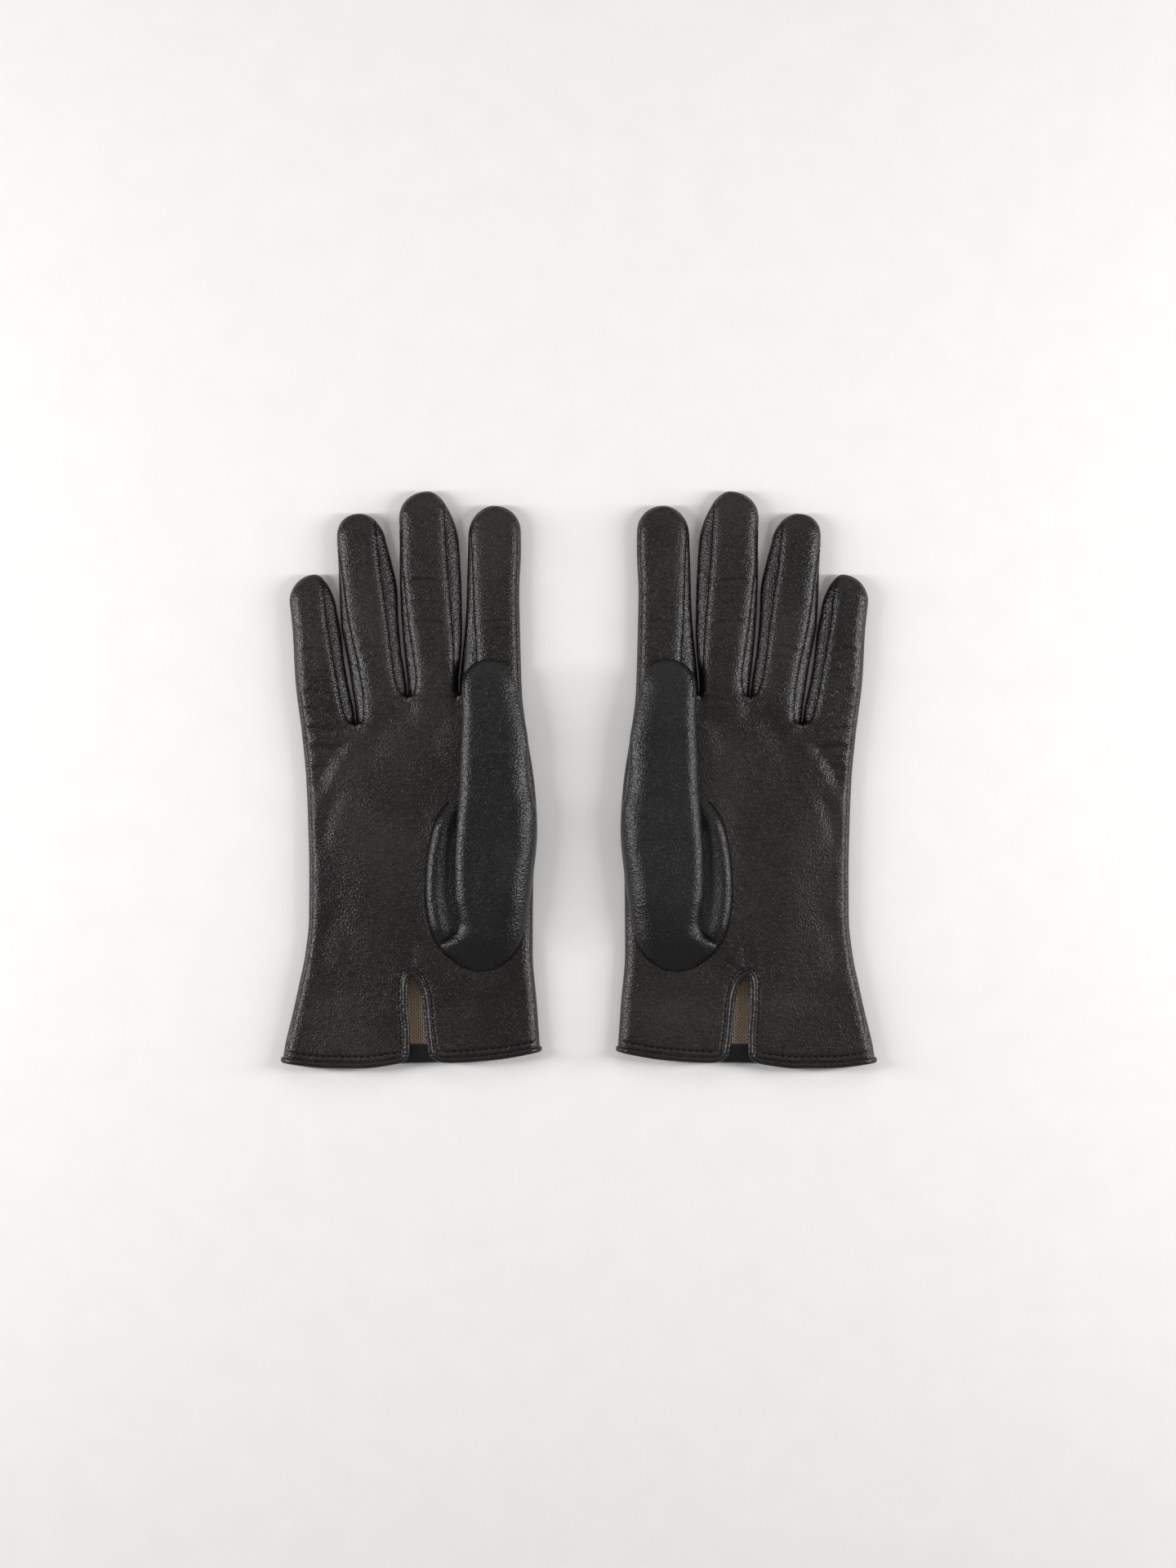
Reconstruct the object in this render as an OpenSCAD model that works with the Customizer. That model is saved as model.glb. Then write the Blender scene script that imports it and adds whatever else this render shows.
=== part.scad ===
// A pair of lined leather gloves, laid side by side, palms up.
// Each glove is built flat, in layers, from the back leather (on the floor) to
// the palm leather, with the thumb lying over the palm. The left glove is drawn
// on the +X side and the right glove is its mirror image.

/* [Size] */
// Glove size, of a hand whose girth over the knuckles is 27 mm times this
glove_size = 7; // [6.5:0.5:8.5]
// Thickness of the leather
leather_t = 0.9; // [0.7:0.1:1.1]
// Thickness of the knitted lining
lining_t = 1.1; // [0.8:0.1:1.3]
// Height of the room for the hand between palm and back lining
room_h = 5; // [4.5:0.5:8]

/* [Seams] */
// Width of the rolled binding at the hem
cuff_binding_w = 2.4; // [2:0.2:3]
// Width of the binding round the palm vent
vent_binding_w = 2.4; // [2:0.2:3]
// Pitch of the stitches above the hem
cuff_pitch = 2.7; // [2.4:0.1:3.2]
// Pitch of the stitches round the vent
vent_pitch = 2.1; // [1.9:0.1:2.6]
// Width of a stitch
stitch_w = 0.5; // [0.4:0.1:0.6]

/* [Joints] */
// Running gap between a finger or thumb and the piece that it bends on
joint_gap = 0.4; // [0.3:0.1:0.6]

/* [Hidden] */
k = glove_size / 7;
far = 300;

// Heights of the layers, from the floor up
z_back_lining = leather_t;
z_room = z_back_lining + lining_t;
z_palm_lining = z_room + room_h;
z_palm = z_palm_lining + lining_t;
z_top = z_palm + leather_t;

// Heights of the thumb's layers, which lie over the palm
z_thumb = z_top + joint_gap;
z_thumb_lining = z_thumb + leather_t;
z_thumb_room = z_thumb_lining + lining_t;
z_thumb_ceiling = z_thumb_room + room_h;
z_thumb_skin = z_thumb_ceiling + lining_t;
z_thumb_top = z_thumb_skin + leather_t;

// Fingers: [knuckle y, tip y, [[y, thumb-side x, little-side x], ...]]
index = [62, 114.2, [[34, 23.6, 49.7], [62, 24.5, 47.6], [90, 24.2, 46.7], [103, 24.4, 46.1]]];
middle = [64, 120.2, [[34, 50.5, 70.9], [64, 48.5, 74.2], [87, 49.1, 74.9], [104, 51, 74.8]]];
ring = [55, 110.9, [[32, 72, 92.9], [55, 75.2, 97.1], [80, 75.9, 99.6], [98, 80, 100.6]]];
little = [48, 85.5, [[24, 94.4, 116.2], [48, 98.5, 118.1], [62, 100.5, 119.4], [75, 102.6, 120.9]]];

// Thumb: the same form, from its knuckle to its tip
thumb_knuckle = -15;
thumb_tip = 49.9;
thumb_stations = [[-30, 18.2, 51.5], [-15, 18, 50.6], [0, 20.3, 49.8], [28, 23.5, 48.7], [38, 26, 48.7]];

// Sides of the hand between cuff and fingers, as [x, y] going up
thumb_side = [[15.5, -130], [17.4, -97], [19.3, -70], [19, -44], [17.5, -16], [20.5, 10], [23.6, 34]];
little_side = [[127, -130], [120, -100], [114, -72], [112.5, -40], [113.7, 0], [116.2, 24]];

// Bottoms of the forks between the fingers, going towards the thumb
little_fork = [[94.2, 24], [92.4, 24]];
ring_fork = [[72.1, 34], [70.7, 34]];
middle_fork = [[50.7, 35], [49.5, 35]];

// Edge of the cuff, and outline of the vent in the palm
cuff_edge = [[5, -114], [34, -116.6], [60, -118], [88, -120.2], [105, -120.2], [135, -117]];
vent = [[70.2, -130], [70.2, -108], [71.2, -94], [71.2, -85.5], [69.6, -82.1], [66.7, -85.2],
        [65.1, -91], [63.5, -108], [62, -130]];

// Opening between the hand and the thumb
thumb_hole_c = [36, -44];
thumb_hole_r = [11, 22];

// Base of the thumb, and the rolled gusset beside it
thumb_base = [[17.8, 5], [17.4, -20], [19.5, -43], [21.2, -56], [24, -67], [29, -74.5], [36, -78.5],
              [43, -77.5], [48, -70], [50.8, -60], [51.9, -45], [51.5, -30], [50.4, 5]];
gusset = [[43.6, -79], [50, -76.8], [56, -72], [60.4, -66.1], [63.1, -56.3], [63.6, -40],
          [61.5, -23.7], [58.2, -14.4], [52, -8], [52, -30], [52.4, -45], [51.3, -60.2], [48.6, -70.4]];
gusset_h = 3.5;

PIECES = [
  "palm_panel", "back_panel", "outer_seam_welt", "thumb_side_seam", "index_middle_fourchette",
  "middle_ring_fourchette", "ring_little_fourchette", "hand_lining", "inner_facing", "cuff_binding",
  "cuff_stitches", "vent_binding", "vent_stitches", "thumb_gusset", "thumb_base", "thumb_stall",
  "thumb_lining", "index_tip", "index_tip_fourchette", "index_tip_lining", "middle_tip",
  "middle_tip_fourchettes", "middle_tip_lining", "ring_tip", "ring_tip_fourchettes",
  "ring_tip_lining", "little_tip", "little_tip_fourchette", "little_tip_lining"];

function unit(v) = v / norm(v);
function left_of(v) = [-v[1], v[0]];
function reversed(list) = [for (i = [len(list) - 1:-1:0]) list[i]];

// Moves each corner of an anticlockwise outline inwards by d, or outwards if d < 0
function inset(pts, d) =
  let (n = len(pts))
  [for (i = [0:n - 1])
    let (a = left_of(unit(pts[i] - pts[(i + n - 1) % n])),
         b = left_of(unit(pts[(i + 1) % n] - pts[i])))
    pts[i] + d * (a + b) / (1 + a * b)];

function ellipse(c, r, steps = 24) =
  [for (i = [0:steps - 1]) c + [r[0] * cos(360 * i / steps), r[1] * sin(360 * i / steps)]];

// Both sides of a finger up to height y_end, for the hand's outline
function stub_end(f, y_end, side) =
  let (a = f[2][0], b = f[2][1])
  [b[side] + (b[side] - a[side]) * (y_end - b[0]) / (b[0] - a[0]), y_end];
function stub(f) = [stub_end(f, f[0] + 8, 2), stub_end(f, f[0] + 8, 1)];

// Outline of the hand, open past the cuff and past each knuckle, going anticlockwise
hand = concat(reversed(thumb_side), little_side, stub(little), little_fork, stub(ring), ring_fork,
              stub(middle), middle_fork, stub(index));

// What of that outline belongs to the hand: from the binding up to each knuckle
function knuckle_steps() =
  [[135, little[0]], [97.4, little[0]], [98.3, ring[0]], [74.9, ring[0]],
   [74.9, middle[0]], [48.1, middle[0]], [48.1, index[0]], [5, index[0]]];
function cuff_line(dy) = [for (p = cuff_edge) p + [0, dy]];

// Outline of a finger from below its knuckle to its rounded tip
function finger(f) =
  let (s = f[2], e = s[len(s) - 1], c = (e[1] + e[2]) / 2, r = (e[2] - e[1]) / 2)
  concat([for (p = s) [p[2], p[0]]],
         [for (a = [15:15:165]) [c + r * cos(a), e[0] + (f[1] - e[0]) * sin(a)]],
         [for (p = reversed(s)) [p[1], p[0]]]);

thumb = [thumb_knuckle, thumb_tip, thumb_stations];

// Extrudes an outline between two heights
module slab(pts, z_lo, z_hi) {
  translate([0, 0, z_lo]) linear_extrude(z_hi - z_lo) polygon(k * pts);
}

// The hand's outline, moved inwards by d, between cuff and knuckles
module hand_slab(d, z_lo, z_hi, cuff_inset) {
  intersection() {
    slab(inset(hand, d), z_lo, z_hi);
    slab(concat(cuff_line(cuff_inset), knuckle_steps()), z_lo, z_hi);
  }
}

// Half space beyond a knuckle, less the running gap
module beyond(y, z_lo, z_hi) {
  translate([0, k * y + joint_gap, z_lo]) cube([far, far, z_hi - z_lo]);
}

// A strip of space between two x values
module column(x_lo, x_hi) {
  translate([k * x_lo, -far, -1]) cube([k * (x_hi - x_lo), 2 * far, far]);
}

// One stretch of the leather wall that joins palm and back
module wall(x_lo, x_hi) {
  intersection() {
    difference() {
      hand_slab(0, z_back_lining, z_palm, cuff_binding_w);
      slab(inset(hand, leather_t), 0, z_top);
    }
    column(x_lo, x_hi);
  }
}

module leather() {
  color([0.13, 0.12, 0.115]) children();
}

module binding() {
  color([0.1, 0.1, 0.1]) children();
}

module knit() {
  color([0.55, 0.45, 0.35]) children();
}

module thread() {
  color([0.05, 0.05, 0.05]) children();
}

module palm_panel() {
  leather() difference() {
    hand_slab(0, z_palm, z_top, cuff_binding_w);
    slab(inset(vent, -vent_binding_w), 0, far);
    slab(ellipse(thumb_hole_c, thumb_hole_r), 0, far);
  }
}

module back_panel() {
  leather() hand_slab(0, 0, leather_t, cuff_binding_w);
}

module hand_lining() {
  knit() {
    difference() {
      hand_slab(leather_t, z_back_lining, z_palm, cuff_binding_w);
      slab(inset(hand, leather_t + lining_t), z_room, z_palm_lining);
      slab(inset(vent, -vent_binding_w), z_room, far);
      slab(ellipse(thumb_hole_c, thumb_hole_r), z_room, far);
      inner_facing_space();
    }
    thumb_base_lining();
  }
}

// Lining of the thumb's base, with the collar that passes down through the palm
module thumb_base_lining() {
  difference() {
    union() {
      intersection() {
        slab(inset(thumb_base, leather_t), z_top, z_thumb_skin);
        below_thumb_knuckle();
      }
      slab(ellipse(thumb_hole_c, thumb_hole_r), z_palm_lining, z_top);
    }
    slab(inset(thumb_base, leather_t + lining_t), z_top + lining_t, z_thumb_ceiling);
    slab(ellipse(thumb_hole_c, thumb_hole_r - [lining_t, lining_t]), 0, z_top + 2 * lining_t);
  }
}

module below_thumb_knuckle() {
  translate([0, -far + k * thumb_knuckle, 0]) cube([far, far, far]);
}

// Hem of the back, turned in over the end of the lining
module inner_facing_space() {
  slab(concat(cuff_line(0), [[135, -110.4], [5, -110.4]]), 0, z_room);
}

module inner_facing() {
  binding() intersection() {
    hand_slab(leather_t, z_back_lining, z_room, cuff_binding_w);
    inner_facing_space();
  }
}

module cuff_binding() {
  binding() difference() {
    intersection() {
      slab(hand, 0, z_top);
      slab(concat(cuff_line(0), reversed(cuff_line(cuff_binding_w))), 0, z_top);
    }
    slab(inset(hand, leather_t + lining_t), z_room, z_palm_lining);
    slab(inset(vent, -vent_binding_w), z_room, far);
  }
}

module vent_binding() {
  binding() intersection() {
    difference() {
      slab(inset(vent, -vent_binding_w), z_palm_lining, z_top + 0.4);
      slab(vent, 0, far);
    }
    slab(concat(cuff_line(0), [[135, 0], [5, 0]]), 0, far);
  }
}

function cuff_y(x) = lookup(x, cuff_edge);

// Stitches in a row above the hem, left out where the vent passes
module cuff_stitches() {
  thread() for (x = [20:cuff_pitch:118]) {
    if (x < 58 || x > 74.5)
      translate([k * x, k * (cuff_y(x) + 4.8), z_top])
        cube([0.6 * cuff_pitch, stitch_w, stitch_w / 2]);
  }
}

// Stitches along one straight stretch beside the vent
module stitch_line(a, b) {
  steps = floor(norm(b - a) / vent_pitch);
  turn = atan2(b[1] - a[1], b[0] - a[0]);
  for (i = [0:steps - 1])
    translate([k * (a + (b - a) * (i + 0.2) / steps)[0], k * (a + (b - a) * (i + 0.2) / steps)[1], z_top])
      rotate(turn) cube([0.6 * vent_pitch, stitch_w, stitch_w / 2]);
}

module vent_stitches() {
  row = inset(vent, -vent_binding_w - 1.2);
  thread() for (i = [1:len(row) - 3]) stitch_line(row[i], row[i + 1]);
}

module thumb_gusset() {
  leather() slab(gusset, z_top, z_top + gusset_h);
}

module thumb_base_shell() {
  leather() difference() {
    intersection() {
      slab(thumb_base, z_top, z_thumb_top);
      below_thumb_knuckle();
    }
    slab(inset(thumb_base, leather_t), 0, z_thumb_skin);
  }
}

module thumb_stall() {
  leather() bag(thumb, 0, z_thumb, z_thumb_top, leather_t);
}

module thumb_lining() {
  knit() bag(thumb, leather_t, z_thumb_lining, z_thumb_skin, lining_t);
}

// A bag open at the knuckle: a finger's outline moved inwards by d, with walls of thickness t
module bag(f, d, z_lo, z_hi, t) {
  difference() {
    intersection() {
      slab(inset(finger(f), d), z_lo, z_hi);
      beyond(f[0], z_lo, z_hi);
    }
    slab(inset(finger(f), d + t), z_lo + t, z_hi - t);
  }
}

// Leather of a fingertip, less the side strips named in sides
module tip(f, sides) {
  leather() difference() {
    bag(f, 0, 0, z_top, leather_t);
    side_strips(f, sides);
  }
}

// Side strips between the two leaves of a finger; side 1 is the thumb side, 2 the little side
module side_strips(f, sides) {
  last = f[2][len(f[2]) - 1];
  mid = (last[1] + last[2]) / 2;
  intersection() {
    difference() {
      slab(finger(f), leather_t, z_palm);
      slab(inset(finger(f), leather_t), 0, z_top);
    }
    translate([0, 0, leather_t]) cube([far, k * last[0], z_palm - leather_t]);
    beyond(f[0], 0, z_top);
    for (side = sides)
      if (side == 1) column(0, mid);
      else column(mid, far);
  }
}

module tip_fourchettes(f, sides) {
  leather() side_strips(f, sides);
}

module tip_lining(f) {
  knit() bag(f, leather_t, leather_t, z_palm, lining_t);
}

// One piece of a glove by name; the left glove is drawn as it is, the right mirrored
module piece(name) {
  if (name == "palm_panel") palm_panel();
  if (name == "back_panel") back_panel();
  if (name == "outer_seam_welt") leather() wall(107, 135);
  if (name == "thumb_side_seam") leather() wall(0, 36);
  if (name == "index_middle_fourchette") leather() wall(36, 61);
  if (name == "middle_ring_fourchette") leather() wall(61, 83);
  if (name == "ring_little_fourchette") leather() wall(83, 107);
  if (name == "hand_lining") hand_lining();
  if (name == "inner_facing") inner_facing();
  if (name == "cuff_binding") cuff_binding();
  if (name == "cuff_stitches") cuff_stitches();
  if (name == "vent_binding") vent_binding();
  if (name == "vent_stitches") vent_stitches();
  if (name == "thumb_gusset") thumb_gusset();
  if (name == "thumb_base") thumb_base_shell();
  if (name == "thumb_stall") thumb_stall();
  if (name == "thumb_lining") thumb_lining();
  if (name == "index_tip") tip(index, [2]);
  if (name == "index_tip_fourchette") tip_fourchettes(index, [2]);
  if (name == "index_tip_lining") tip_lining(index);
  if (name == "middle_tip") tip(middle, [1, 2]);
  if (name == "middle_tip_fourchettes") tip_fourchettes(middle, [1, 2]);
  if (name == "middle_tip_lining") tip_lining(middle);
  if (name == "ring_tip") tip(ring, [1, 2]);
  if (name == "ring_tip_fourchettes") tip_fourchettes(ring, [1, 2]);
  if (name == "ring_tip_lining") tip_lining(ring);
  if (name == "little_tip") tip(little, [1]);
  if (name == "little_tip_fourchette") tip_fourchettes(little, [1]);
  if (name == "little_tip_lining") tip_lining(little);
}

for (p = PIECES) {
  piece(p);
  mirror([1, 0, 0]) piece(p);
}
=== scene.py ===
import math

import bmesh
import bpy
import numpy as np
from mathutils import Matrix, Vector, noise


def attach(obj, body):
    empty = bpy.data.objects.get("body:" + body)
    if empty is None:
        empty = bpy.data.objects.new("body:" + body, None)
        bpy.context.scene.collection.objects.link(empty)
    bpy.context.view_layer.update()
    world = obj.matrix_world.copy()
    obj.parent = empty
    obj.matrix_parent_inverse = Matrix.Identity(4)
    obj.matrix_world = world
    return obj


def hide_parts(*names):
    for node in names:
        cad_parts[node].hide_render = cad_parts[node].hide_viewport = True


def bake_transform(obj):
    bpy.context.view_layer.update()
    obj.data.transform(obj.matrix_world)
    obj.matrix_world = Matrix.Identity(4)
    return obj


# A pair of lined black leather gloves, laid flat with the palms up.
#
# The left glove is worked out in millimetres on the +X side and the right glove is its mirror
# image. "lo" is the thumb side of a finger or of the hand, and "hi" is the little finger's side.

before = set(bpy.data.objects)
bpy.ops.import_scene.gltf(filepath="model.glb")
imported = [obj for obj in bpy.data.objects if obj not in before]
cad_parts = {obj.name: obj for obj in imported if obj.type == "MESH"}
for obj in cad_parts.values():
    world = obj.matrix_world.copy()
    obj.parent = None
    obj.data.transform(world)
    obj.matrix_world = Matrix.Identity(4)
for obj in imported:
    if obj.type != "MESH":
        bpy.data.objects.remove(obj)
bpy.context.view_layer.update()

MM = 0.001
SIDES = {"left": 1.0, "right": -1.0}

# Heights in mm, from the floor up
Z_BACK = 0.35      # outside of the back, which lies on the floor
Z_EDGE = 4.0       # seam where palm and back meet at the outside
Z_PALM = 8.5       # outside of the palm
Z_FINGER = 8.9     # crown of a finger
SEAM_DROP = 0.42   # share of its height that a finger loses from its crown to its seams

# Where hand and fingers meet, and the ends of the seams
Y_FINGERS = 20.0
Y_CUFF = -118.0
Y_CUFF_SWEEP = -96.0

# Spacing of the leather's points in mm, and their numbers
COLUMNS = 32
ROW = 0.8
FORK_ROW = 0.5       # closer rows from the hand to above the forks
Y_ABOVE_FORKS = 50.0
TIP_ROWS = 38
TIP_LEFT = 0.02      # share of its width that a tip's last row keeps
LEAST_WIDTH = 0.1

# How far in from its edges the leather rounds over
PALM_ROUND = 5.2     # palm, at an outside edge
FORK_ROUND = 6.0     # palm, beside a fourchette
BACK_ROUND = 4.2     # back, at an outside edge
BACK_FORK_ROUND = 2.5
BACK_LIFT = 1.1      # how far the back rises towards a fourchette

# Rows of stitches: pitch, length, radius, and how far they stand above the leather
CUFF_ROW = (2.7, 1.75, 0.36, 0.10)
VENT_ROW = (2.05, 1.35, 0.31, 0.08)
FINGER_ROW = (1.25, 0.78, 0.19, 0.02)

# Seams beside the outside edges: distance in from the edge
WELT_INSET = 1.7
SIDE_SEAM_INSET = 1.35
BINDING = (1.28, 0.95)  # half width and half height of the rolled bindings


def smooth(t):
    t = np.clip(t, 0, 1)
    return t * t * (3 - 2 * t)


def bell(d, width):
    """1 at 0, fading to nothing on both sides over about twice the width."""
    return np.exp(-(d / width) ** 2)


def curve(points, at):
    """Value at a place on a smooth curve through (place, value) points, straight beyond its ends."""
    p = np.array(points, float)
    at = np.asarray(at, float)
    x, v = p[:, 0], p[:, 1]
    slope = np.diff(v) / np.diff(x)
    inner = np.where(slope[:-1] * slope[1:] > 0,
                     2 * slope[:-1] * slope[1:] / (slope[:-1] + slope[1:] + 1e-12), 0)
    m = np.concatenate([slope[:1], inner, slope[-1:]])
    i = np.clip(np.searchsorted(x, at) - 1, 0, len(x) - 2)
    h = x[i + 1] - x[i]
    t = np.clip((at - x[i]) / h, 0, 1)
    inside = ((2 * t**3 - 3 * t**2 + 1) * v[i] + (t**3 - 2 * t**2 + t) * h * m[i]
              + (3 * t**2 - 2 * t**3) * v[i + 1] + (t**3 - t**2) * h * m[i + 1])
    below = np.minimum(at - x[0], 0) * m[0]
    above = np.maximum(at - x[-1], 0) * m[-1]
    return inside + below + above


# Outlines of the fingers, as (y, x) points: the outside edges lo and hi, and the palm's
# seams, which lie inside them where a fourchette shows. bend is the middle knuckle.
FINGERS = {
    "index": {
        "lo": [(20, 21.8), (36, 23.7), (62, 24.5), (78, 24.8), (96, 24.1), (108, 24.3)],
        "hi": [(20, 50.1), (35, 50.1), (62, 47.9), (72, 47.3), (90, 46.8), (108, 46.2)],
        "seam_lo": None,
        "seam_hi": [(35, 50.1), (36, 47.2), (40, 43.8), (47, 42.5), (54, 42.7), (70, 43.7), (91, 44.3),
                    (104, 45.0), (112, 45.5)],
        "tip": (114.2, 35.5), "shoulder": (103.0, 101.0), "square": (2.1, 1.9), "bend": 62.0},
    "middle": {
        "lo": [(20, 50.1), (35, 50.1), (62, 48.4), (79, 48.7), (90, 49.2), (104, 50.3)],
        "hi": [(20, 71.4), (34, 71.4), (55, 73.4), (70, 74.6), (87, 75.1), (104, 75.0)],
        "seam_lo": [(35, 50.1), (36, 50.9), (42, 51.4), (60, 52.5), (81, 54.1), (97, 55.4), (107, 55.9),
                    (120, 56.5)],
        "seam_hi": [(34, 71.4), (34.6, 70.0), (36.5, 68.6), (42, 67.8), (48, 68.5), (64, 70.9), (81, 72.7),
                    (92, 73.9), (104, 74.6), (112, 76.0)],
        "tip": (120.2, 62.6), "shoulder": (97.0, 109.0), "square": (1.7, 2.1), "bend": 64.0},
    "ring": {
        "lo": [(20, 71.4), (34, 71.4), (55, 74.0), (70, 75.2), (78, 75.5), (92, 78.2), (101, 80.8)],
        "hi": [(20, 93.2), (23, 93.2), (42, 95.6), (56, 98.0), (64, 99.5), (81, 100.4), (101, 100.9)],
        "seam_lo": [(34, 71.4), (34.6, 73.0), (36.5, 74.5), (40, 76.0), (48, 77.6), (62, 79.3), (76, 81.2),
                    (90, 83.1), (109, 85.0)],
        "seam_hi": [(22.6, 93.2), (23.3, 91.2), (26, 89.6), (32, 89.7), (45, 91.5), (56, 93.9), (64, 95.6),
                    (73, 97.0), (90, 99.2), (100, 101.5)],
        "tip": (110.9, 91.0), "shoulder": (99.0, 101.0), "square": (1.75, 2.3), "bend": 55.0},
    "little": {
        "lo": [(20, 93.2), (23, 93.2), (42, 96.4), (52, 98.0), (60, 98.9), (70, 100.8), (76, 102.4)],
        "hi": [(20, 115.6), (42, 118.3), (62, 119.4), (76, 120.9)],
        "seam_lo": [(22.6, 93.2), (23.3, 95.0), (26, 97.2), (31, 98.8), (45, 101.5), (56, 103.4),
                    (66, 105.0), (76, 106.0), (86, 107.5)],
        "seam_hi": None,
        "tip": (85.5, 109.8), "shoulder": (70.0, 74.0), "square": (1.65, 2.0), "bend": 48.0},
}
ORDER = ["index", "middle", "ring", "little"]
FORKS = {"index": 35.0, "middle": 34.0, "ring": 22.6}  # y of the fork on a finger's hi side
FORK_LO = {"middle": 35.0, "ring": 34.0, "little": 22.6}

# Edges of the hand below the fingers, and the lines that carry on from the forks to the cuff
HAND_LO = [(-119, 16.2), (-96, 17.3), (-72, 19.2), (-44, 19.0), (-17, 17.5), (-4, 18.3), (20, 21.8)]
HAND_HI = [(-119, 123.6), (-111, 122.4), (-99, 119.7), (-86, 116.8), (-72, 114.0), (-58, 112.6),
           (-38, 112.5), (-20, 112.9), (0, 113.7), (20, 115.6)]
LINES = {
    "index": [(-119, 41), (-60, 46), (20, 50.1)],
    "middle": [(-119, 66.6), (-82, 69.8), (-40, 70.6), (20, 71.4)],
    "ring": [(-119, 97), (-60, 93), (20, 93.2)],
}
# Edge of the palm's leather round the vent, under the middle of its binding
VENT_TOP = -80.4
VENT_LO = [(-119, 60.6), (-108, 62.3), (-100, 63.1), (-91, 63.9), (-85.4, 65.5), (-82.4, 67.2),
           (-81, 68.6), (-80.4, 69.8)]
VENT_HI = [(-119, 71.6), (-106, 71.5), (-94, 72.4), (-86, 72.4), (-82.6, 71.9), (-81, 70.9), (-80.4, 69.8)]
VENT_CORNER = 2.6  # how far the cuff's edge rises at the two rounded corners of the vent
HEM_STITCHES = 4.8   # from the cuff's edge to its row of stitches
VENT_STITCHES = 2.5  # from the edge round the vent to its row of stitches
BINDING_EDGE = 2.6   # from the cuff's edge to where its binding ends
VENT_REACH = 8       # how far above the vent its stitches draw the leather in
Y_VENT_FOOT = -114.0
# Bottom edge of the cuff, as (x, y)
CUFF_EDGE = [(15, -113.2), (34, -116.6), (53, -118.0), (75, -118.6), (90, -120.2), (105, -120.1),
             (124, -118.0)]


def side_x(finger, side, y):
    """Outside edge of a finger, or of its share of the hand, at each y."""
    f = FINGERS[finger]
    y = np.asarray(y, float)
    top, tip_x = f["tip"]
    end = ("lo", "hi").index(side)
    shoulder, n = f["shoulder"][end], f["square"][end]
    x = curve(f[side], np.minimum(y, shoulder))
    t = np.clip((y - shoulder) / (top - shoulder), 0, 1)
    narrow = np.maximum(1 - t**n, 0) ** (1 / n)
    return tip_x + (x - tip_x) * np.maximum(narrow, TIP_LEFT)


def seam_x(finger, side, y):
    """Palm edge of a finger at each y: its seam where a fourchette shows, else its outside edge."""
    seam = FINGERS[finger]["seam_" + side]
    outside = side_x(finger, side, y)
    if seam is None:
        return outside
    x = curve(seam, y)
    return np.maximum(x, outside) if side == "lo" else np.minimum(x, outside)


def fork_y(finger, side):
    """y of the fork on a side of a finger, or None at an outside edge of the hand."""
    return (FORK_LO if side == "lo" else FORKS).get(finger)


def strip_x(finger, side, y):
    """Palm edge of a finger's strip of leather at each y, from the cuff to the fingertip."""
    y = np.asarray(y, float)
    i = ORDER.index(finger)
    if side == "lo" and i == 0:
        low = curve(HAND_LO, y)
    elif side == "hi" and i == len(ORDER) - 1:
        low = curve(HAND_HI, y)
    else:
        low = curve(LINES[ORDER[i - 1] if side == "lo" else finger], y)
    if (finger, side) == ("middle", "hi"):
        low = np.where(y < VENT_TOP, curve(VENT_LO, y), low)
    if (finger, side) == ("ring", "lo"):
        low = np.where(y < VENT_TOP, curve(VENT_HI, y), low)
    fork = fork_y(finger, side) or Y_FINGERS
    return np.where(y < fork, low, seam_x(finger, side, y))


def ease_spaced(n):
    """Steps from 0 to 1, close together at both ends."""
    return (1 - np.cos(np.linspace(0, math.pi, n + 1))) / 2


def finger_rows(finger):
    """Rows from the hand to a fingertip, closer together where the outline turns."""
    top = FINGERS[finger]["tip"][0]
    shoulder = min(FINGERS[finger]["shoulder"])
    fork_rows = np.arange(Y_FINGERS, Y_ABOVE_FORKS, FORK_ROW)
    plain = np.arange(Y_ABOVE_FORKS, shoulder, ROW)
    tip = shoulder + (top - shoulder) * np.sin(np.linspace(0, math.pi / 2, TIP_ROWS))
    return np.concatenate([fork_rows, plain, tip])


def hand_rows():
    """Rows from the cuff to the fingers, closer together at the hem and round the vent's top."""
    above_hem, below_top, above_top = -108.0, -84.0, -79.6
    hem = np.arange(Y_CUFF, above_hem, 0.4)
    vent = np.arange(above_hem, below_top, ROW)
    vent_top = np.arange(below_top, above_top, 0.3)
    above_vent = np.arange(above_top, Y_FINGERS, ROW)
    return np.concatenate([hem, vent, vent_top, above_vent, [Y_FINGERS]])


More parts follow.
